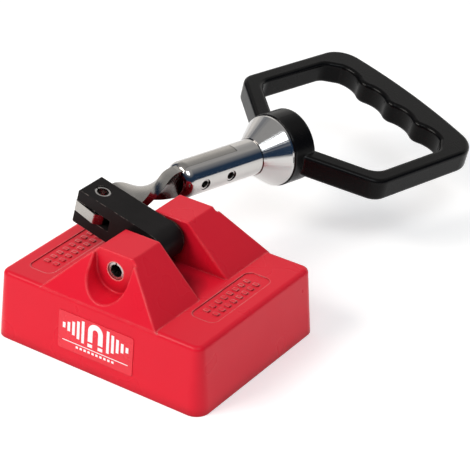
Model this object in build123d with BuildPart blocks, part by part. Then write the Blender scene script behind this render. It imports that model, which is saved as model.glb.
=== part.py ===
from build123d import *
from math import radians, sqrt, tan
import os

os.makedirs("parts", exist_ok=True)

# Frame: origin at the centre of the pole face, +X along the label face,
# -Y towards the user of the label, +Z up. The lever and handle are modelled parked.

# Housing
block_length = 120.0
block_width = 96.0
block_height = 35.0
block_taper = 4.2
corner_radius = 7.0
rim_fillet = 2.4
lug_top_z = 57.8
lug_top_half = 9.6
lug_foot_half = 32.9
lug_crest_y = 31.6
lug_foot_y = 45.3
channel_half = 10.8
spot_radius = 11.0
spot_z = 47.9
lug_edge_fillet = 0.9
panel_length_left = 70.0
panel_length_right = 48.0
panel_width = 14.0
panel_centre_x = 42.8
panel_depth = 0.5
label_width = 43.0
label_height = 19.5
label_thickness = 0.3
label_z = 17.6

# Magnet pack inside the housing
cavity_length = 106.0
cavity_width = 82.0
cavity_height = 24.0
backing_thickness = 5.0
pole_width = 11.9
magnet_width = 22.9
magnet_length = 51.8
magnet_height = 16.0
potting_height = 2.6
pole_screw_radius = 2.5
pole_screw_head = 4.8
pole_screw_length = 30.0
pole_pitch = pole_width + magnet_width + 0.1
pole_length = cavity_length - 2.2
pole_screw_pitch = 80.0
magnet_top = cavity_height - backing_thickness

# Lever and its pins
pivot_z = 48.2
park_tilt = 13.65
lever_reach = 43.0
lever_half_height = 9.4
lever_half_width = 8.3
pivot_pin_radius = 4.5
pivot_pin_wall = 1.3
fork_reach = 35.0
fork_depth_start = 22.8
fork_gap = 6.2
fork_pin_radius = 4.0
fork_pin_wall = 1.1
spacer_radius = 8.0
spacer_thickness = 2.2
running_gap = 0.05
fixed_gap = 0.02

# Strap: a flat bar, parked a little past square to the lever, with a quarter twist
swing_past_square = 13.4
strap_half_width = 9.4
strap_thickness = 5.6
tang_corner_start = 5.0
tang_end_left = 9.9
tang_end_right = 8.6
tang_end_half = 6.3
tang_corner_radius = 1.5
twist_start = 16.0
twist_end = 46.4
twist_steps = 8
strap_end = 83.6
slot_lean = -5.5
quarter_turn = 95.5
strap_neck_half = 7.5
strap_waist = 1.2
strap_neck_end = 49.0

# Shank, ferrule and handle, measured along the shank from the fork pin
shank_radius = 9.4
shank_start = 47.6
shank_dome = 4.6
shank_slot = 5.8
shank_slot_end = 84.0
shank_shoulder = 101.0
spigot_radius = 6.5
spigot_end = 118.6
cross_pin_radius = 3.0
cross_pin_wall = 1.0
cross_pin_stations = [59.2, 76.3]
ferrule_start = 97.6
ferrule_rim = 109.6
ferrule_end = 111.2
ferrule_radius = 18.2
hub_radius = 18.8
hub_end = 125.0
hub_pocket = 119.0
hub_pocket_radius = 9.5
handle_turn = -2.2
arm_start = 114.9
arm_foot = 15.0
shoulder_station = 137.5
shoulder_radius = 10.0
window_start = 122.6
window_foot = 9.0
window_shoulder = 143.3
handle_thickness = 12.5
handle_edge_fillet = 2.2
frame_outer = 53.3
frame_inner = 44.55
grip_crown = 216.1
grip_edge = 211.5
grip_corner_radius = 14.5
finger_pitch = 20.7
finger_radius = 14.0
ridge_radius = 6.5
hollow_station = 199.6
window_corner_station = 190.5
window_corner_radius = 8.0
bolt_radius = 4.0
bolt_head_radius = 6.5
bolt_head_height = 6.4
washer_thickness = 1.6
bolt_depth = 18.0

# Planes that carry the parked pose
pivot_centre = Vector(0, 0, pivot_z)
lever_way = Vector(-1, 0, 0).rotate(Axis.Y, park_tilt)
lever_up = Vector(0, 0, 1).rotate(Axis.Y, park_tilt)
lever_plane = Plane(origin=pivot_centre, x_dir=lever_way, z_dir=(0, 1, 0))
fork_centre = pivot_centre + lever_way * fork_reach
shank_way = Vector(0, 1, 0).rotate(Axis((0, 0, 0), lever_up), -swing_past_square)
shank_line = Axis((0, 0, 0), shank_way)
slot_up = lever_up.rotate(shank_line, slot_lean)
handle_up = lever_up.rotate(shank_line, handle_turn)
fork_plane = Plane(origin=fork_centre, x_dir=lever_way, z_dir=lever_up)
strap_plane = Plane(origin=fork_centre, x_dir=shank_way, z_dir=lever_up)
slot_plane = Plane(origin=fork_centre, x_dir=shank_way, z_dir=slot_up)
handle_plane = Plane(origin=fork_centre, x_dir=shank_way, z_dir=handle_up)
shank_plane = Plane(origin=fork_centre, x_dir=slot_up, z_dir=shank_way)
side_plane = Plane(origin=fork_centre, x_dir=shank_way, z_dir=slot_plane.y_dir)
label_normal = Vector(0, -1, 0).rotate(Axis.X, -block_taper)
label_y = -block_width / 2 + label_z * tan(radians(block_taper))
label_plane = Plane(origin=(0, label_y, label_z), x_dir=(1, 0, 0), z_dir=label_normal)


def save(piece, name):
    piece.label = name
    export_step(piece, f"parts/{name}.step")


def corner_at(sketch, station, across):
    return sketch.vertices().filter_by(
        lambda vertex: abs(vertex.X - station) < 0.1 and abs(vertex.Y - across) < 0.1
    )


def spring_pin(plane, radius, wall, length):
    with BuildPart() as pin:
        with BuildSketch(plane.offset(-length / 2)):
            Circle(radius)
            Circle(radius - wall, mode=Mode.SUBTRACT)
            with Locations((radius, 0)):
                Rectangle(2 * radius, 0.6 * wall, mode=Mode.SUBTRACT)
        extrude(amount=length)
    return pin.part


# Housing: tapered block, two leaning lugs, magnet cavity
with BuildPart() as lugs:
    with BuildSketch(Plane.XZ):
        with BuildLine():
            Polyline(
                (-lug_foot_half - 3, block_height - 3),
                (-lug_top_half, lug_top_z),
                (lug_top_half, lug_top_z),
                (lug_foot_half + 3, block_height - 3),
                close=True,
            )
        make_face()
    extrude(amount=block_width / 2, both=True)
    with BuildSketch(Plane.YZ):
        with BuildLine():
            Polyline(
                (channel_half, block_height - 3),
                (channel_half, lug_top_z),
                (lug_crest_y, lug_top_z),
                (lug_foot_y, block_height),
                (lug_foot_y, block_height - 3),
                close=True,
            )
        make_face()
        mirror(about=Plane.YZ)
    extrude(amount=block_length / 2, both=True, mode=Mode.INTERSECT)
    # Spot faces around the pivot pin, open at the crest
    for side in (-1, 1):
        with BuildSketch(Plane.XZ.offset(-side * lug_crest_y)):
            with Locations((0, spot_z)):
                Circle(spot_radius)
            with Locations((0, spot_z + spot_radius)):
                Rectangle(2 * spot_radius, 2 * spot_radius)
        extrude(amount=-side * 20, mode=Mode.SUBTRACT)
    raised_edges = lugs.edges().filter_by(lambda edge: edge.center().Z > block_height + 0.5)
    fillet(raised_edges, lug_edge_fillet)

with BuildPart() as housing:
    with BuildSketch():
        RectangleRounded(block_length, block_width, corner_radius)
    extrude(amount=block_height, taper=block_taper)
    fillet(housing.faces().sort_by(Axis.Z)[-1].edges(), rim_fillet)
    add(lugs.part)
    # Cavity for the magnet pack
    with BuildSketch():
        RectangleRounded(cavity_length, cavity_width, 1)
    extrude(amount=cavity_height, mode=Mode.SUBTRACT)
    # Pivot bore through both lugs
    with BuildSketch(Plane.XZ.offset(-block_width / 2)):
        with Locations((0, pivot_z)):
            Circle(pivot_pin_radius + fixed_gap)
    extrude(amount=block_width, mode=Mode.SUBTRACT)
    # Recessed panels on the two flats, with raised plain marks
    with BuildSketch(Plane.XY.offset(block_height)):
        with Locations((-panel_centre_x, 0)):
            RectangleRounded(panel_width, panel_length_left, 4)
        with Locations((panel_centre_x, 0)):
            RectangleRounded(panel_width, panel_length_right, 4)
    extrude(amount=-panel_depth, mode=Mode.SUBTRACT)
    with BuildSketch(Plane.XY.offset(block_height - panel_depth)):
        with Locations((-panel_centre_x, 0)):
            with GridLocations(5.2, 4.6, 2, 12):
                RectangleRounded(3.0, 2.2, 0.5)
        with Locations((panel_centre_x, 0)):
            with GridLocations(5.2, 4.6, 2, 8):
                RectangleRounded(3.0, 2.2, 0.5)
    extrude(amount=0.6)
    # Tapped holes for the pole screws
    with BuildSketch(Plane.XY.offset(cavity_height)):
        with GridLocations(pole_screw_pitch, pole_pitch, 2, 3):
            Circle(pole_screw_radius + fixed_gap)
    extrude(amount=pole_screw_length - cavity_height + 1.5, mode=Mode.SUBTRACT)
save(housing.part, "housing")

# Magnet pack: backing plate, three pole bars, four magnets, two resin strips
with BuildPart() as backing_plate:
    with BuildSketch(Plane.XY.offset(cavity_height - backing_thickness)):
        RectangleRounded(cavity_length - 0.4, cavity_width - 0.4, 1.5)
        with GridLocations(pole_screw_pitch, pole_pitch, 2, 3):
            Circle(pole_screw_radius + 0.2, mode=Mode.SUBTRACT)
    extrude(amount=backing_thickness)
save(backing_plate.part, "backing_plate")

for name, y in (("pole_bar_front", -pole_pitch), ("pole_bar_middle", 0), ("pole_bar_rear", pole_pitch)):
    with BuildPart() as pole_bar:
        with Locations((0, y, 0)):
            Box(
                pole_length,
                pole_width,
                cavity_height - backing_thickness,
                align=(Align.CENTER, Align.CENTER, Align.MIN),
            )
        with Locations((-pole_screw_pitch / 2, y, 0), (pole_screw_pitch / 2, y, 0)):
            Cylinder(
                pole_screw_radius + 0.2,
                cavity_height,
                align=(Align.CENTER, Align.CENTER, Align.MIN),
                mode=Mode.SUBTRACT,
            )
            Cone(
                pole_screw_head + 0.1,
                pole_screw_radius + 0.2,
                pole_screw_head - pole_screw_radius,
                align=(Align.CENTER, Align.CENTER, Align.MIN),
                mode=Mode.SUBTRACT,
            )
    save(pole_bar.part, name)

with BuildPart() as pole_screws:
    with BuildSketch(Plane.XY.offset(0.1)):
        with GridLocations(pole_screw_pitch, pole_pitch, 2, 3):
            Circle(pole_screw_radius)
    extrude(amount=pole_screw_length)
    with GridLocations(pole_screw_pitch, pole_pitch, 2, 3):
        with Locations((0, 0, 0.1)):
            Cone(
                pole_screw_head,
                pole_screw_radius,
                pole_screw_head - pole_screw_radius,
                align=(Align.CENTER, Align.CENTER, Align.MIN),
            )
    with BuildSketch(Plane.XY.offset(0.1)):
        with GridLocations(pole_screw_pitch, pole_pitch, 2, 3):
            RegularPolygon(1.7, 6)
    extrude(amount=2.2, mode=Mode.SUBTRACT)
save(pole_screws.part, "pole_screws")

magnet_seats = {
    "magnet_front_left": (-1, -1),
    "magnet_front_right": (1, -1),
    "magnet_rear_left": (-1, 1),
    "magnet_rear_right": (1, 1),
}
for name, (side_x, side_y) in magnet_seats.items():
    with BuildPart() as magnet:
        with Locations((side_x * (magnet_length + 0.1) / 2, side_y * pole_pitch / 2, magnet_top)):
            Box(
                magnet_length,
                magnet_width,
                magnet_height,
                align=(Align.CENTER, Align.CENTER, Align.MAX),
            )
    save(magnet.part, name)

for name, side_y in (("resin_front", -1), ("resin_rear", 1)):
    with BuildPart() as resin:
        with Locations((0, side_y * pole_pitch / 2, magnet_top - magnet_height)):
            Box(
                pole_length,
                magnet_width,
                potting_height,
                align=(Align.CENTER, Align.CENTER, Align.MAX),
            )
    save(resin.part, name)

# Printed label on the sloping front face
with BuildPart() as front_label:
    with BuildSketch(label_plane):
        RectangleRounded(label_width, label_height, 1)
    extrude(amount=label_thickness)
save(front_label.part, "front_label")

# Pivot pin and the spacers that centre the lever in the channel
pivot_pin = spring_pin(
    Plane(origin=pivot_centre, x_dir=(0, 0, 1), z_dir=(0, 1, 0)),
    pivot_pin_radius,
    pivot_pin_wall,
    2 * lug_crest_y - 1,
)
save(pivot_pin, "pivot_pin")

for name, side in (("pivot_spacer_front", -1), ("pivot_spacer_rear", 1)):
    with BuildPart() as spacer:
        with BuildSketch(Plane.XZ.offset(-side * channel_half)):
            with Locations((0, pivot_z)):
                Circle(spacer_radius)
                Circle(pivot_pin_radius + running_gap, mode=Mode.SUBTRACT)
        extrude(amount=side * spacer_thickness)
    save(spacer.part, name)

# Lever: black bar, round at the pivot, forked at the free end
with BuildPart() as lever:
    with BuildSketch(lever_plane.offset(-lever_half_width)):
        Circle(lever_half_height)
        with Locations((lever_reach / 2, 0)):
            Rectangle(lever_reach, 2 * lever_half_height)
    extrude(amount=2 * lever_half_width)
    end_face = lever.faces().sort_by(Axis((0, 0, 0), lever_way))[-1]
    chamfer(end_face.edges().filter_by(Axis.Y), 0.6)
    with BuildSketch(lever_plane.offset(-lever_half_width)):
        with Locations(((fork_depth_start + lever_reach) / 2, 0)):
            Rectangle(lever_reach - fork_depth_start, fork_gap)
        Circle(pivot_pin_radius + running_gap)
    extrude(amount=2 * lever_half_width, mode=Mode.SUBTRACT)
    with BuildSketch(fork_plane.offset(-lever_half_height)):
        Circle(fork_pin_radius + fixed_gap)
    extrude(amount=2 * lever_half_height, mode=Mode.SUBTRACT)
save(lever.part, "lever")

fork_pin = spring_pin(fork_plane, fork_pin_radius, fork_pin_wall, 2 * lever_half_height - 0.8)
save(fork_pin, "fork_pin")

# Strap: flat tang in the fork, quarter twist, then a blade flush with the shank
with BuildPart() as blade:
    with BuildSketch(shank_plane.offset(shank_start)):
        Circle(shank_radius)
    extrude(amount=strap_end - shank_start)
    dome_edge = blade.edges().filter_by(GeomType.CIRCLE).sort_by(Axis(fork_centre, shank_way))[0]
    fillet(dome_edge, shank_dome)
    with BuildSketch(side_plane.offset(-strap_thickness / 2)):
        with Locations(((strap_end + shank_start) / 2, 0)):
            Rectangle(strap_end - shank_start, 3 * shank_radius)
    extrude(amount=strap_thickness, mode=Mode.INTERSECT)

with BuildPart() as strap:
    with BuildSketch(strap_plane.offset(-strap_thickness / 2)) as tang:
        with BuildLine():
            Polyline(
                (twist_start, strap_half_width),
                (-tang_corner_start, strap_half_width),
                (-tang_end_left, tang_end_half),
                (-tang_end_right, -tang_end_half),
                (-tang_corner_start, -strap_half_width),
                (twist_start, -strap_half_width),
                close=True,
            )
        make_face()
        fillet(tang.vertices().filter_by(lambda vertex: vertex.X < 0), tang_corner_radius)
    extrude(amount=strap_thickness)
    with BuildSketch(fork_plane.offset(-strap_thickness)):
        Circle(fork_pin_radius + running_gap)
    extrude(amount=2 * strap_thickness, mode=Mode.SUBTRACT)
    for step in range(twist_steps + 1):
        share = step / twist_steps
        eased = share * share * (3 - 2 * share)
        station = twist_start + share * (twist_end - twist_start)
        edge_way = strap_plane.y_dir.rotate(shank_line, -quarter_turn * eased)
        straight_half = strap_half_width + share * (strap_neck_half - strap_half_width)
        half_width = straight_half - strap_waist * 4 * share * (1 - share)
        section_plane = Plane(origin=fork_centre + shank_way * station, x_dir=edge_way, z_dir=shank_way)
        with BuildSketch(section_plane):
            Rectangle(2 * half_width, strap_thickness)
    loft()
    with BuildSketch(section_plane):
        Rectangle(2 * strap_neck_half, strap_thickness)
    extrude(amount=strap_neck_end - twist_end)
    add(blade.part)
    with BuildSketch(side_plane.offset(-strap_thickness)):
        with Locations(*[(station, 0) for station in cross_pin_stations]):
            Circle(cross_pin_radius + fixed_gap)
    extrude(amount=2 * strap_thickness, mode=Mode.SUBTRACT)
save(strap.part, "strap")

# Shank: round bar, domed and slotted at the strap end, spigot at the handle end
with BuildPart() as shank:
    with BuildSketch(shank_plane.offset(shank_start)):
        Circle(shank_radius)
    extrude(amount=shank_shoulder - shank_start)
    dome_edge = shank.edges().filter_by(GeomType.CIRCLE).sort_by(Axis(fork_centre, shank_way))[0]
    fillet(dome_edge, shank_dome)
    with BuildSketch(shank_plane.offset(shank_shoulder)):
        Circle(spigot_radius)
    extrude(amount=spigot_end - shank_shoulder)
    with BuildSketch(side_plane.offset(-shank_slot / 2)):
        with Locations(((shank_slot_end + shank_start) / 2 - 5, 0)):
            Rectangle(shank_slot_end - shank_start + 10, 3 * shank_radius)
    extrude(amount=shank_slot, mode=Mode.SUBTRACT)
    with BuildSketch(side_plane.offset(-1.5 * shank_radius)):
        with Locations(*[(station, 0) for station in cross_pin_stations]):
            Circle(cross_pin_radius + fixed_gap)
    extrude(amount=3 * shank_radius, mode=Mode.SUBTRACT)
    with BuildSketch(shank_plane.offset(spigot_end - bolt_depth)):
        Circle(bolt_radius + fixed_gap)
    extrude(amount=bolt_depth, mode=Mode.SUBTRACT)
save(shank.part, "shank")

with BuildPart() as cross_pins:
    for station in cross_pin_stations:
        pin_centre = fork_centre + shank_way * station
        pin_plane = Plane(origin=pin_centre, x_dir=shank_way, z_dir=slot_plane.y_dir)
        add(spring_pin(pin_plane, cross_pin_radius, cross_pin_wall, 2 * shank_radius - 1.6))
save(cross_pins.part, "cross_pins")

# Ferrule: cone with a thin rim, seated on the shank's shoulder
with BuildPart() as ferrule:
    with BuildSketch(side_plane):
        with BuildLine():
            Polyline(
                (ferrule_start, shank_radius + running_gap),
                (ferrule_start, shank_radius + 0.5),
                (ferrule_rim, ferrule_radius),
                (ferrule_end, ferrule_radius),
                (ferrule_end, spigot_radius + running_gap),
                (shank_shoulder, spigot_radius + running_gap),
                (shank_shoulder, shank_radius + running_gap),
                close=True,
            )
        make_face()
    revolve(axis=Axis(fork_centre, shank_way))
    rim_edges = ferrule.edges().filter_by(GeomType.CIRCLE).filter_by(lambda edge: edge.radius > ferrule_radius - 0.1)
    fillet(rim_edges, 0.5)
save(ferrule.part, "ferrule")

# Handle: round hub, two arms, two side bars and a grip with four finger hollows
finger_centre = hollow_station - finger_radius
ridge_station = finger_centre + sqrt(finger_radius**2 - (finger_pitch / 2) ** 2)
last_finger_y = 1.5 * finger_pitch + finger_radius / 2
last_finger_station = finger_centre + finger_radius * sqrt(0.75)
with BuildPart() as handle:
    with BuildSketch(handle_plane.offset(-handle_thickness / 2)) as frame:
        with BuildLine():
            Polyline(
                (grip_crown, 0),
                (arm_start, 0),
                (arm_start, arm_foot),
                (shoulder_station, frame_outer),
                (grip_edge, frame_outer),
            )
            ThreePointArc(
                (grip_edge, frame_outer),
                ((3 * grip_crown + grip_edge) / 4, frame_outer / 2),
                (grip_crown, 0),
            )
        make_face()
        fillet(corner_at(frame, shoulder_station, frame_outer), shoulder_radius)
        fillet(corner_at(frame, grip_edge, frame_outer), grip_corner_radius)
        with BuildLine():
            Polyline(
                (ridge_station, 0),
                (window_start, 0),
                (window_start, window_foot),
                (window_shoulder, frame_inner),
                (window_corner_station, frame_inner),
                (last_finger_station, last_finger_y),
            )
            ThreePointArc(
                (last_finger_station, last_finger_y),
                (hollow_station, 1.5 * finger_pitch),
                (ridge_station, finger_pitch),
            )
            ThreePointArc(
                (ridge_station, finger_pitch),
                (hollow_station, 0.5 * finger_pitch),
                (ridge_station, 0),
            )
        make_face(mode=Mode.SUBTRACT)
        fillet(corner_at(frame, window_shoulder, frame_inner), shoulder_radius)
        fillet(corner_at(frame, window_corner_station, frame_inner), window_corner_radius)
        mirror(about=Plane.XZ)
    extrude(amount=handle_thickness)
    upright_edges = handle.edges().filter_by(Axis(fork_centre, handle_up))
    ridge_spots = [handle_plane.from_local_coords((ridge_station, y, 0)) for y in (-finger_pitch, 0, finger_pitch)]
    ridge_edges = [upright_edges.sort_by_distance(spot)[0] for spot in ridge_spots]
    fillet(ridge_edges, ridge_radius)
    fillet(handle.edges().filter_by(handle_plane), handle_edge_fillet)
    with BuildSketch(shank_plane.offset(ferrule_end)):
        Circle(hub_radius)
    extrude(amount=hub_end - ferrule_end)
    hub_rims = handle.edges().filter_by(GeomType.CIRCLE).filter_by(lambda edge: edge.radius > hub_radius - 0.1)
    fillet(hub_rims, 0.8)
    with BuildSketch(shank_plane.offset(ferrule_end)):
        Circle(spigot_radius + running_gap)
    extrude(amount=hub_pocket - ferrule_end, mode=Mode.SUBTRACT)
    with BuildSketch(shank_plane.offset(hub_pocket)):
        Circle(hub_pocket_radius)
    extrude(amount=hub_end - hub_pocket + 2, mode=Mode.SUBTRACT)
save(handle.part, "handle")

# Bolt and washer that hold the hub on the spigot
with BuildPart() as handle_washer:
    with BuildSketch(shank_plane.offset(hub_pocket)):
        Circle(hub_pocket_radius - 0.5)
        Circle(bolt_radius + 0.3, mode=Mode.SUBTRACT)
    extrude(amount=washer_thickness)
save(handle_washer.part, "handle_washer")

with BuildPart() as handle_bolt:
    with BuildSketch(shank_plane.offset(hub_pocket + washer_thickness)):
        Circle(bolt_head_radius)
    extrude(amount=bolt_head_height)
    with BuildSketch(shank_plane.offset(spigot_end - bolt_depth + 1)):
        Circle(bolt_radius)
    extrude(amount=bolt_depth - 1 + hub_pocket + washer_thickness - spigot_end)
    with BuildSketch(shank_plane.offset(hub_pocket + washer_thickness + bolt_head_height)):
        RegularPolygon(3.4, 6)
    extrude(amount=-3.6, mode=Mode.SUBTRACT)
save(handle_bolt.part, "handle_bolt")
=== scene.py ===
import math

import bmesh
import bpy
from mathutils import Matrix, Vector


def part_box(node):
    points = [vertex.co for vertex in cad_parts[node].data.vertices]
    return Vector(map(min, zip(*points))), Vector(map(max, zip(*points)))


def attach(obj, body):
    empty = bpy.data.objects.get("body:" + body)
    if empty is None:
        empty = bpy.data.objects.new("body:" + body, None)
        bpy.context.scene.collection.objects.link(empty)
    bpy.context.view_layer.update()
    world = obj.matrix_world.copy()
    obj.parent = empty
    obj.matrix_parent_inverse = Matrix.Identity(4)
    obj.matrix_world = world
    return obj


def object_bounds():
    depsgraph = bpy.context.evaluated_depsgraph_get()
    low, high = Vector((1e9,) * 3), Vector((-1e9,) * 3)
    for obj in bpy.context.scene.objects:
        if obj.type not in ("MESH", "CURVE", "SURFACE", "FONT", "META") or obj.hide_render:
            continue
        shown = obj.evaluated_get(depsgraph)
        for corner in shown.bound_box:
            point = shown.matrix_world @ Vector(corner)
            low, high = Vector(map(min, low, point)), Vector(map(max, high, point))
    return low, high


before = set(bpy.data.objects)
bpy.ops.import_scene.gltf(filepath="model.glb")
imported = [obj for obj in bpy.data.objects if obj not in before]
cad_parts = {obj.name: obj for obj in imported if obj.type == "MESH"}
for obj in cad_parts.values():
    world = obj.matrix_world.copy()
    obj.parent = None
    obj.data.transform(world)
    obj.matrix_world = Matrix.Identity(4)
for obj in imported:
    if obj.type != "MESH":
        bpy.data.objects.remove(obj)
bpy.context.view_layer.update()
cad_low, cad_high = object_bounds()
MM = 0.001


# ---------------------------------------------------------------- camera

CAMERA_AZIMUTH = 33.80  # degrees round to the right of the front face
CAMERA_ELEVATION = 29.72  # degrees above the horizon
CAMERA_ROLL = 1.85  # degrees about the line of sight
CAMERA_DISTANCE = 947.4 * MM
CAMERA_LENS = 151.5  # on a 36 mm sensor
AIM_SHARE = Vector((0.6273, 0.3304, 0.5919))  # of the way across the CAD box


def toward(azimuth, elevation):
    """The unit vector to that azimuth, round to the right from the front, and elevation."""
    azimuth, elevation = math.radians(azimuth), math.radians(elevation)
    flat = math.cos(elevation)
    return Vector((math.sin(azimuth) * flat, -math.cos(azimuth) * flat, math.sin(elevation)))


def make_camera():
    size = cad_high - cad_low
    aim = cad_low + Vector(share * length for share, length in zip(AIM_SHARE, size))
    back = toward(CAMERA_AZIMUTH, CAMERA_ELEVATION)
    turn = back.to_track_quat("Z", "Y").to_matrix()
    roll = Matrix.Rotation(math.radians(CAMERA_ROLL), 3, "Z")
    camera = bpy.data.objects.new("camera", bpy.data.cameras.new("camera"))
    camera.data.sensor_width = 36.0
    camera.data.lens = CAMERA_LENS
    camera.data.clip_start = 0.01
    camera.matrix_world = Matrix.Translation(aim + back * CAMERA_DISTANCE) @ (turn @ roll).to_4x4()
    place_in_scene(camera)
    bpy.context.scene.camera = camera


# ---------------------------------------------------------------- node helpers

class Graph:
    """Short ways to add nodes to one node tree."""

    def __init__(self, tree):
        self.tree = tree

    def add(self, kind, **settings):
        node = self.tree.nodes.new(kind)
        for name, value in settings.items():
            setattr(node, name, value)
        return node

    def link(self, source, target):
        self.tree.links.new(source, target)

    def fill(self, socket, value):
        if isinstance(value, bpy.types.NodeSocket):
            self.link(value, socket)
        else:
            socket.default_value = value

    def put(self, node, **inputs):
        for name, value in inputs.items():
            self.fill(node.inputs[name.replace("_", " ")], value)

    def ramp(self, source, low, high, start=0.0, end=1.0):
        node = self.add("ShaderNodeMapRange", clamp=True)
        self.put(node, Value=source, From_Min=low, From_Max=high, To_Min=start, To_Max=end)
        return node.outputs["Result"]

    def math(self, operation, *values):
        node = self.add("ShaderNodeMath", operation=operation)
        for socket, value in zip(node.inputs, values):
            self.fill(socket, value)
        return node.outputs[0]

    def vector_math(self, operation, a, b=None, output="Vector"):
        node = self.add("ShaderNodeVectorMath", operation=operation)
        self.fill(node.inputs[0], a)
        if b is not None:
            self.fill(node.inputs[1], b)
        return node.outputs[output]

    def mix(self, share, a, b):
        node = self.add("ShaderNodeMix", data_type="RGBA")
        self.fill(node.inputs[0], share)
        self.fill(node.inputs[6], a)
        self.fill(node.inputs[7], b)
        return node.outputs[2]


FLAT_DOT, EDGE_DOT = 0.995, 0.80  # between true and rounded normals, where an edge starts and is full
OPEN_SHARE = 0.85  # of the surroundings: more than this is no crevice


class Finish(Graph):
    """One material. Its coordinates are the piece's own, in metres."""

    def __init__(self, name):
        self.material = bpy.data.materials.new(name)
        self.material.use_nodes = True
        super().__init__(self.material.node_tree)
        self.shader = self.tree.nodes["Principled BSDF"]
        self.place = self.add("ShaderNodeTexCoord").outputs["Object"]

    def set(self, **inputs):
        self.put(self.shader, **inputs)

    def stretched(self, scale, turn=(0, 0, 0)):
        node = self.add("ShaderNodeMapping")
        self.put(node, Vector=self.place, Rotation=turn, Scale=scale)
        return node.outputs["Vector"]

    def noise(self, scale, detail=3.0, roughness=0.55, distortion=0.0, vector=None):
        node = self.add("ShaderNodeTexNoise")
        self.put(node, Vector=vector or self.place, Scale=scale, Detail=detail)
        self.put(node, Roughness=roughness, Distortion=distortion)
        return node.outputs["Fac"]

    def around(self, point, way):
        """The unit vector that points straight out from the axis through point, along way."""
        offset = self.vector_math("SUBTRACT", self.place, point)
        along = self.vector_math("PROJECT", offset, way)
        return self.vector_math("NORMALIZE", self.vector_math("SUBTRACT", offset, along))

    def edges(self, radius):
        """Near 1 on edges and 0 on flats, within that radius in metres."""
        bevel = self.add("ShaderNodeBevel", samples=6)
        self.put(bevel, Radius=radius)
        face = self.add("ShaderNodeNewGeometry").outputs["Normal"]
        same = self.vector_math("DOT_PRODUCT", bevel.outputs["Normal"], face, output="Value")
        return self.ramp(same, FLAT_DOT, EDGE_DOT)

    def crevices(self, distance, full=0.25):
        """0 in the open, rising to 1 where only that share of the surroundings is open."""
        node = self.add("ShaderNodeAmbientOcclusion", samples=6)
        self.put(node, Distance=distance)
        return self.ramp(node.outputs["AO"], OPEN_SHARE, full)

    def bumps(self, *layers, round_edges=0.0):
        """Each layer is (height, depth in metres, strength). Edges shade as if rounded by that radius."""
        normal = None
        if round_edges:
            bevel = self.add("ShaderNodeBevel", samples=8)
            self.put(bevel, Radius=round_edges)
            normal = bevel.outputs["Normal"]
        for height, depth, strength in layers:
            node = self.add("ShaderNodeBump")
            self.put(node, Height=height, Distance=depth, Strength=strength)
            if normal is not None:
                self.put(node, Normal=normal)
            normal = node.outputs["Normal"]
        self.set(Normal=normal)


def place_in_scene(thing):
    bpy.context.scene.collection.objects.link(thing)
    return thing


def mesh_object(name, mesh):
    """Turns a bmesh into an object in the scene."""
    data = bpy.data.meshes.new(name)
    mesh.to_mesh(data)
    mesh.free()
    return place_in_scene(bpy.data.objects.new(name, data))


def rgb(red, green, blue):
    return (red, green, blue, 1.0)


# ---------------------------------------------------------------- finishes

LEVER_SHADOW_REACH = (5 * MM, 17 * MM)  # painted shadow of the lever: full within the first distance, gone by the second
CHANNEL_GAP = 2.8 * MM  # beside the lever, a little more than the gap to each lug


def lever_shadow(f, across):
    """How much painted shadow and dark reflection of the lever lies beside its foot, between the lugs."""
    low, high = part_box("lever")
    centre = (high.x + 5 * MM, low.y + 2 * MM, low.z)
    full, gone = LEVER_SHADOW_REACH
    near = f.ramp(f.vector_math("DISTANCE", f.place, centre, output="Value"), gone, full)
    half_channel = (high.y - low.y) / 2 + CHANNEL_GAP
    between = f.ramp(f.math("ABSOLUTE", across), half_channel + 1 * MM, half_channel)
    patchy = f.ramp(f.noise(140, detail=5), 0.25, 0.70, 0.45, 0.95)
    return f.math("MULTIPLY", f.math("MULTIPLY", near, between), patchy)


LUG_GLINT_FOOT = (33.5 * MM, 39 * MM)  # heights between which the painted highlight on the lug edges starts
LUG_GLINT_CREST = (54 * MM, 57 * MM)  # heights between which it fades again


def red_paint():
    f = Finish("red_paint")
    drift = f.noise(14, detail=4)
    body = f.mix(f.ramp(drift, 0.15, 0.85), rgb(0.78, 0.010, 0.030), rgb(0.71, 0.008, 0.026))
    hollow = f.crevices(8 * MM)
    rim = f.ramp(f.math("SUBTRACT", f.edges(1.3 * MM), f.math("MULTIPLY", hollow, 3.0)), 0.0, 1.0)
    # Pale pink on convex edges, broken up by noise: painted highlight over slight edge wear, strongest on
    # the lug edges
    edge_glint_and_wear = f.math("MULTIPLY", rim, f.ramp(f.noise(160, detail=5), 0.34, 0.56))
    split = f.add("ShaderNodeSeparateXYZ")
    f.link(f.place, split.inputs[0])
    height = split.outputs["Z"]
    glint_over_foot = f.ramp(height, *LUG_GLINT_FOOT, 0.15, 1.0)
    glint_under_crest = f.ramp(height, *reversed(LUG_GLINT_CREST), 0.5, 1.0)
    lug_glint_height = f.math("MULTIPLY", glint_over_foot, glint_under_crest)
    with_edge_glint = f.mix(f.math("MULTIPLY", edge_glint_and_wear, lug_glint_height), body, rgb(1.0, 0.60, 0.52))
    # Darker in hollows: partly dust, partly painted shade
    dust_and_shade = f.math("MULTIPLY", hollow, f.ramp(f.noise(70, detail=3), 0.3, 0.7, 0.55, 0.95))
    dusty_and_shaded = f.mix(dust_and_shade, with_edge_glint, rgb(0.14, 0.003, 0.006))
    # Near-black painted shadow and dark reflection of the lever beside its foot
    colour = f.mix(lever_shadow(f, split.outputs["Y"]), dusty_and_shaded, rgb(0.010, 0.006, 0.006))
    smears = f.noise(35, detail=2, roughness=0.5)
    f.set(Base_Color=colour, Roughness=f.ramp(smears, 0.1, 0.9, 0.22, 0.36))
    f.set(Specular_IOR_Level=0.20, IOR=1.45, Coat_Weight=rim, Coat_Roughness=0.14, Coat_IOR=1.5)
    f.bumps(
        (f.noise(45, detail=1), 0.16 * MM, 0.20),
        (f.noise(380, detail=2), 0.02 * MM, 0.25),
        round_edges=0.9 * MM,
    )
    return f.material


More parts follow.
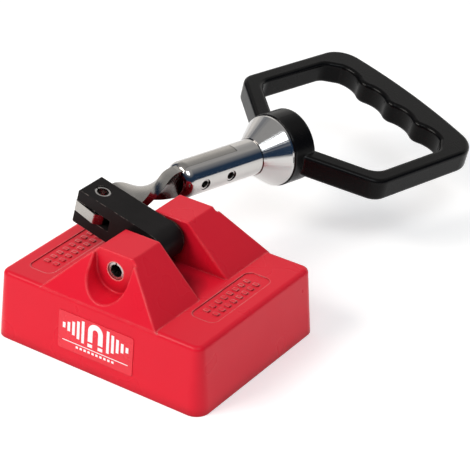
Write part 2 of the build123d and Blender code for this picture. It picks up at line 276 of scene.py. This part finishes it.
def label_film():
    f = Finish("label_film")
    f.set(Base_Color=f.mix(f.ramp(f.noise(40), 0.3, 0.7), rgb(0.82, 0.030, 0.050), rgb(0.77, 0.026, 0.044)))
    f.set(Roughness=f.ramp(f.noise(90, detail=5), 0.3, 0.7, 0.20, 0.32), Specular_IOR_Level=0.30)
    f.bumps((f.noise(110, detail=2), 0.10 * MM, 0.25))
    return f.material


def label_ink():
    f = Finish("label_ink")
    screen = f.ramp(f.noise(1500, detail=4), 0.35, 0.62)
    f.set(Base_Color=f.mix(screen, rgb(0.93, 0.88, 0.87), rgb(0.97, 0.96, 0.95)))
    f.set(Roughness=f.ramp(f.noise(400), 0.3, 0.7, 0.32, 0.46))
    f.bumps((f.noise(1800, detail=3), 0.02 * MM, 0.4))
    return f.material


def black_oxide():
    f = Finish("black_oxide")
    patches = f.ramp(f.noise(60, detail=6), 0.32, 0.70)
    body = f.mix(patches, rgb(0.006, 0.005, 0.005), rgb(0.011, 0.009, 0.009))
    lighter_edges = f.math("MULTIPLY", f.edges(0.7 * MM), f.ramp(f.noise(210, detail=6, roughness=0.65), 0.50, 0.66))
    scuffs = f.noise(1, detail=5, roughness=0.7, vector=f.stretched((900, 260, 60), (0.5, 0.2, 0.3)))
    marks = f.math("MAXIMUM", f.math("MULTIPLY", lighter_edges, 0.75), f.ramp(scuffs, 0.735, 0.80, 0.0, 0.35))
    f.set(Base_Color=f.mix(marks, body, rgb(0.42, 0.38, 0.34)))
    f.set(Metallic=f.ramp(marks, 0.0, 0.6, 0.0, 0.85))
    f.set(Roughness=f.ramp(f.noise(130, detail=5), 0.3, 0.7, 0.32, 0.46), Specular_IOR_Level=0.10)
    f.bumps(
        (f.noise(1, detail=3, vector=f.stretched((260, 260, 2400))), 0.02 * MM, 0.35),
        (f.noise(700, detail=4), 0.03 * MM, 0.30),
    )
    return f.material


AXIS_GRAIN = 9.0  # noise scale on the unit circle round an axis
# The colour of the painted shade in the hollows of bare metal
PAINTED_SHADE_COLOUR = rgb(0.05, 0.045, 0.045)


def metal(name, colour, tarnish, roughness, grain_depth, grain=None, painted_shade=0.5, hollow=3 * MM, axis=None):
    """Bare or plated metal, with painted shade in its hollows. The grain is noise, streaked along its
    smallest scale.

    With an axis, which is (point, way), the grain runs straight down the cone round it instead.
    """
    f = Finish(name)
    cloud = f.ramp(f.noise(70, detail=6, roughness=0.6), 0.35, 0.78)
    clouded = f.mix(f.math("MULTIPLY", cloud, 0.35), colour, tarnish)
    # Painted shade: darker where ambient occlusion finds other parts close by
    painted_shade_mask = f.math("MULTIPLY", f.crevices(hollow, full=0.50), painted_shade)
    f.set(Base_Color=f.mix(painted_shade_mask, clouded, PAINTED_SHADE_COLOUR), Metallic=1.0)
    low, high = roughness
    f.set(Roughness=f.ramp(f.noise(150, detail=6, roughness=0.65, distortion=0.4), 0.30, 0.74, low, high))
    spread = f.around(*axis) if axis else f.stretched(grain)
    f.bumps(
        (f.noise(AXIS_GRAIN if axis else 1, detail=4, vector=spread), grain_depth, 0.4),
        (f.noise(45, detail=1), 0.02 * MM, 0.3),
    )
    return f.material


def handle_black():
    f = Finish("handle_black")
    drift = f.ramp(f.noise(30, detail=4), 0.3, 0.7)
    body = f.mix(drift, rgb(0.002, 0.002, 0.002), rgb(0.004, 0.0035, 0.0035))
    rim = f.edges(2.6 * MM)
    # Lighter on the edges: partly rubbed wear, partly painted highlight
    lighter_edges = f.math("MULTIPLY", rim, f.ramp(f.noise(120, detail=6), 0.50, 0.72, 0.0, 0.16))
    f.set(Base_Color=f.mix(lighter_edges, body, rgb(0.10, 0.095, 0.09)))
    f.set(Roughness=f.ramp(f.noise(45, detail=6, roughness=0.6, distortion=0.5), 0.3, 0.75, 0.18, 0.32))
    f.set(Specular_IOR_Level=0.10, Coat_Weight=f.math("MULTIPLY", rim, 0.8))
    f.set(Coat_Roughness=0.07, Coat_IOR=1.6)
    f.bumps(
        (f.noise(60, detail=2), 0.16 * MM, 0.25),
        (f.noise(420, detail=2), 0.02 * MM, 0.30),
    )
    return f.material


def dull(name, dark, light, roughness, depth):
    f = Finish(name)
    f.set(Base_Color=f.mix(f.ramp(f.noise(260, detail=6), 0.3, 0.7), dark, light))
    f.set(Roughness=f.ramp(f.noise(120), 0.3, 0.7, roughness - 0.08, roughness + 0.08))
    f.bumps((f.noise(900, detail=5, roughness=0.7), depth, 0.5))
    return f.material


def dress(material, *nodes):
    for name in nodes:
        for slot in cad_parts[name].material_slots:
            slot.material = material


def node_middle(name):
    low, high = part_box(name)
    return (low + high) / 2


def dress_everything():
    dress(red_paint(), "housing")
    dress(label_film(), "front_label")
    dress(black_oxide(), "lever")
    # Painted shade darkens the chrome near other parts, out to 24 mm
    chrome = metal(
        "bright_chrome", rgb(0.58, 0.56, 0.54), rgb(0.44, 0.43, 0.42),
        roughness=(0.08, 0.14), grain=(500, 500, 500), grain_depth=0.004 * MM, painted_shade=0.95, hollow=24 * MM,
    )
    dress(chrome, "shank")
    ferrule_middle, bolt_middle = node_middle("ferrule"), node_middle("handle_bolt")
    cone = metal(
        "turned_chrome", rgb(0.58, 0.565, 0.55), rgb(0.44, 0.43, 0.43),
        roughness=(0.09, 0.15), grain_depth=0.30 * MM,
        axis=(ferrule_middle, bolt_middle - ferrule_middle),
    )
    dress(cone, "ferrule")
    # Painted shade darkens the strap near other parts, out to 24 mm
    strap = metal(
        "plated_strap", rgb(0.43, 0.41, 0.385), rgb(0.30, 0.285, 0.265),
        roughness=(0.17, 0.30), grain=(1400, 120, 900), grain_depth=0.008 * MM, painted_shade=0.95, hollow=24 * MM,
    )
    dress(strap, "strap")
    pins = metal(
        "pin_steel", rgb(0.60, 0.58, 0.56), rgb(0.16, 0.13, 0.11),
        roughness=(0.18, 0.34), grain=(900, 900, 900), grain_depth=0.012 * MM, painted_shade=0.9,
    )
    dress(pins, "pivot_pin", "fork_pin", "cross_pins")
    screws = metal(
        "screw_steel", rgb(0.42, 0.41, 0.40), rgb(0.12, 0.10, 0.09),
        roughness=(0.28, 0.45), grain=(1200, 1200, 1200), grain_depth=0.015 * MM,
    )
    dress(screws, "pole_screws", "handle_washer", "handle_bolt")
    poles = metal(
        "pole_steel", rgb(0.55, 0.55, 0.55), rgb(0.26, 0.23, 0.20),
        roughness=(0.24, 0.42), grain=(90, 3200, 1500), grain_depth=0.020 * MM,
    )
    dress(poles, "backing_plate", "pole_bar_front", "pole_bar_middle", "pole_bar_rear")
    greasy_brass = metal(
        "brass_spacer", rgb(0.20, 0.17, 0.13), rgb(0.07, 0.055, 0.04),
        roughness=(0.34, 0.50), grain=(900, 900, 900), grain_depth=0.015 * MM,
    )
    dress(greasy_brass, "pivot_spacer_front", "pivot_spacer_rear")
    dress(handle_black(), "handle")
    ferrite = dull("ferrite", rgb(0.030, 0.030, 0.032), rgb(0.055, 0.055, 0.058), 0.75, 0.05 * MM)
    dress(ferrite, "magnet_front_left", "magnet_front_right", "magnet_rear_left", "magnet_rear_right")
    resin = dull("resin", rgb(0.045, 0.045, 0.048), rgb(0.070, 0.069, 0.070), 0.55, 0.08 * MM)
    dress(resin, "resin_front", "resin_rear")


# ---------------------------------------------------------------- label artwork

PRINT_THICKNESS = 0.05 * MM
ARCH_STEPS = 20
# The rest of the artwork is in mm, from the middle of the label.
MAGNET_RADIUS, MAGNET_BAND, MAGNET_MIDDLE, MAGNET_ARM = 4.3, 2.7, 4.6, 5.6
POLE_TIP_Z, POLE_TIP_HEIGHT = -2.9, 1.7
BAR_HEIGHTS = (11.4, 9.2, 7.0, 4.8, 2.8)
BAR_START, BAR_PITCH, BAR_WIDTH, BAR_Z = 7.2, 2.75, 1.55, 2.6
DASHES, DASH_PITCH, DASH_WIDTH, DASH_HEIGHT, DASH_Z = 10, 2.3, 1.35, 1.1, -6.6
RULE_LENGTH, RULE_HEIGHT, RULE_Z = 38, 0.4, -5.0


def solid_shape(mesh, outline, base, height):
    """Adds a flat closed outline, raised by height. Outline points are (across, up) on the label."""
    across, up, out, origin = base
    rings = []
    for lift in (0.0, height):
        rings.append([mesh.verts.new(origin + across * x + up * z + out * lift) for x, z in outline])
    lower, upper = rings
    mesh.faces.new(upper)
    mesh.faces.new(list(reversed(lower)))
    for i in range(len(outline)):
        j = (i + 1) % len(outline)
        mesh.faces.new((lower[i], lower[j], upper[j], upper[i]))


def rectangle(centre_x, centre_z, width, height):
    left, right = centre_x - width / 2, centre_x + width / 2
    low, high = centre_z - height / 2, centre_z + height / 2
    return [(left, low), (right, low), (right, high), (left, high)]


def arc(centre_x, centre_z, radius):
    angles = [math.pi * step / ARCH_STEPS for step in range(ARCH_STEPS + 1)]
    return [(centre_x + radius * math.cos(angle), centre_z + radius * math.sin(angle)) for angle in angles]


def horseshoe(centre_x, centre_z, radius, arm, band):
    """An arch with two arms that point down, as one closed outline."""
    inside = radius - band
    foot = centre_z - arm
    return (
        [(centre_x + radius, foot)] + arc(centre_x, centre_z, radius) + [(centre_x - radius, foot)]
        + [(centre_x - inside, foot)] + arc(centre_x, centre_z, inside)[::-1] + [(centre_x + inside, foot)]
    )


def label_artwork():
    """A horseshoe magnet between bars of falling height, over a rule and a row of short dashes."""
    tip_x = MAGNET_RADIUS - MAGNET_BAND / 2
    outlines = [horseshoe(0, MAGNET_MIDDLE, MAGNET_RADIUS, MAGNET_ARM, MAGNET_BAND)]
    for side in (-1, 1):
        outlines.append(rectangle(side * tip_x, POLE_TIP_Z, MAGNET_BAND, POLE_TIP_HEIGHT))
    for side in (-1, 1):
        for place, height in enumerate(BAR_HEIGHTS):
            outlines.append(rectangle(side * (BAR_START + BAR_PITCH * place), BAR_Z, BAR_WIDTH, height))
    for place in range(DASHES):
        across = DASH_PITCH * (place - (DASHES - 1) / 2)
        outlines.append(rectangle(across, DASH_Z, DASH_WIDTH, DASH_HEIGHT))
    outlines.append(rectangle(0, RULE_Z, RULE_LENGTH, RULE_HEIGHT))
    return [[(x * MM, z * MM) for x, z in outline] for outline in outlines]


def make_label_print():
    """The white print, on the outer face of the label film."""
    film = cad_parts["front_label"].data
    front = max((face for face in film.polygons if face.normal.y < 0), key=lambda face: face.area)
    out = front.normal
    across = Vector((1, 0, 0))
    middle = node_middle("front_label")
    level = out.dot(film.vertices[front.vertices[0]].co) - out.dot(middle)
    mesh = bmesh.new()
    base = (across, out.cross(across), out, middle + out * level)
    for outline in label_artwork():
        solid_shape(mesh, outline, base, PRINT_THICKNESS)
    piece = mesh_object("label_print", mesh)
    piece.data.materials.append(label_ink())
    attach(piece, "housing")


make_camera()
dress_everything()
make_label_print()


# ---------------------------------------------------------------- floor and light

BACKDROP_AZIMUTH = -160  # degrees: the middle of the pale wall behind the object
BACKDROP_EDGE = (0.50, 0.68)  # cosines of the angles off its middle between which it fades
BACKDROP_TOP = (0.80, 0.45)  # sines of the elevations between which it fades
BACKDROP_WHITE = rgb(0.97, 0.95, 0.92)
ROOM_BLUE = rgb(0.024, 0.050, 0.10)
CEILING_GREY = rgb(0.42, 0.42, 0.42)
CEILING_FADE = (0.42, 0.80)  # sines of the elevations between which the room turns to ceiling
FLOOR_GAP = 0.1 * MM
FLOOR_RADIUS = 6.0
FLOOR_GLOW = 0.36
LIT_POINT = Vector((0, 0.06, 0.03))  # the softboxes face this


def make_floor():
    mesh = bmesh.new()
    bmesh.ops.create_circle(mesh, cap_ends=True, segments=96, radius=FLOOR_RADIUS)
    floor = mesh_object("floor", mesh)
    floor.location.z = cad_low.z - FLOOR_GAP
    f = Finish("floor_white")
    f.set(Base_Color=f.mix(f.noise(3), rgb(0.89, 0.885, 0.88), rgb(0.91, 0.905, 0.90)), Roughness=0.95)
    f.set(Specular_IOR_Level=0.0, Emission_Color=rgb(1, 1, 1), Emission_Strength=FLOOR_GLOW)
    floor.data.materials.append(f.material)


def make_softbox(name, azimuth, elevation, distance, size, power, colour):
    data = bpy.data.lights.new(name, "AREA")
    data.shape = "RECTANGLE"
    data.size, data.size_y = size
    data.energy = power
    data.color = colour
    lamp = place_in_scene(bpy.data.objects.new(name, data))
    lamp.location = LIT_POINT + toward(azimuth, elevation) * distance
    lamp.rotation_mode = "QUATERNION"
    lamp.rotation_quaternion = toward(azimuth, elevation).to_track_quat("Z", "Y")


def make_world():
    """A dim room with a pale wall behind the object. The camera itself sees plain white."""
    world = bpy.data.worlds.new("studio")
    world.use_nodes = True
    bpy.context.scene.world = world
    g = Graph(world.node_tree)
    split = g.add("ShaderNodeSeparateXYZ")
    g.link(g.add("ShaderNodeTexCoord").outputs["Generated"], split.inputs[0])
    x, y, z = split.outputs
    centre = toward(BACKDROP_AZIMUTH, 0)
    across = g.math("ADD", g.math("MULTIPLY", x, centre.x), g.math("MULTIPLY", y, centre.y))
    flat = g.math("SQRT", g.math("ADD", g.math("MULTIPLY", x, x), g.math("MULTIPLY", y, y)))
    facing = g.ramp(g.math("DIVIDE", across, flat), *BACKDROP_EDGE)
    low_part = g.ramp(z, *BACKDROP_TOP)
    wall = g.math("MULTIPLY", facing, low_part)
    room = g.mix(g.ramp(z, *CEILING_FADE), ROOM_BLUE, CEILING_GREY)
    seen = g.mix(wall, room, BACKDROP_WHITE)
    camera_ray = g.add("ShaderNodeLightPath").outputs["Is Camera Ray"]
    shade = world.node_tree.nodes["Background"]
    g.link(g.mix(camera_ray, seen, rgb(1, 1, 1)), shade.inputs["Color"])


make_floor()
make_world()
make_softbox(
    "key", azimuth=43, elevation=55, distance=1.7, size=(0.85, 0.70), power=7, colour=(0.90, 0.96, 1.0),
)
make_softbox(
    "fill", azimuth=-32, elevation=42, distance=1.8, size=(0.9, 0.7), power=19, colour=(1.0, 0.96, 0.91),
)
bpy.context.scene.view_settings.view_transform = "Standard"
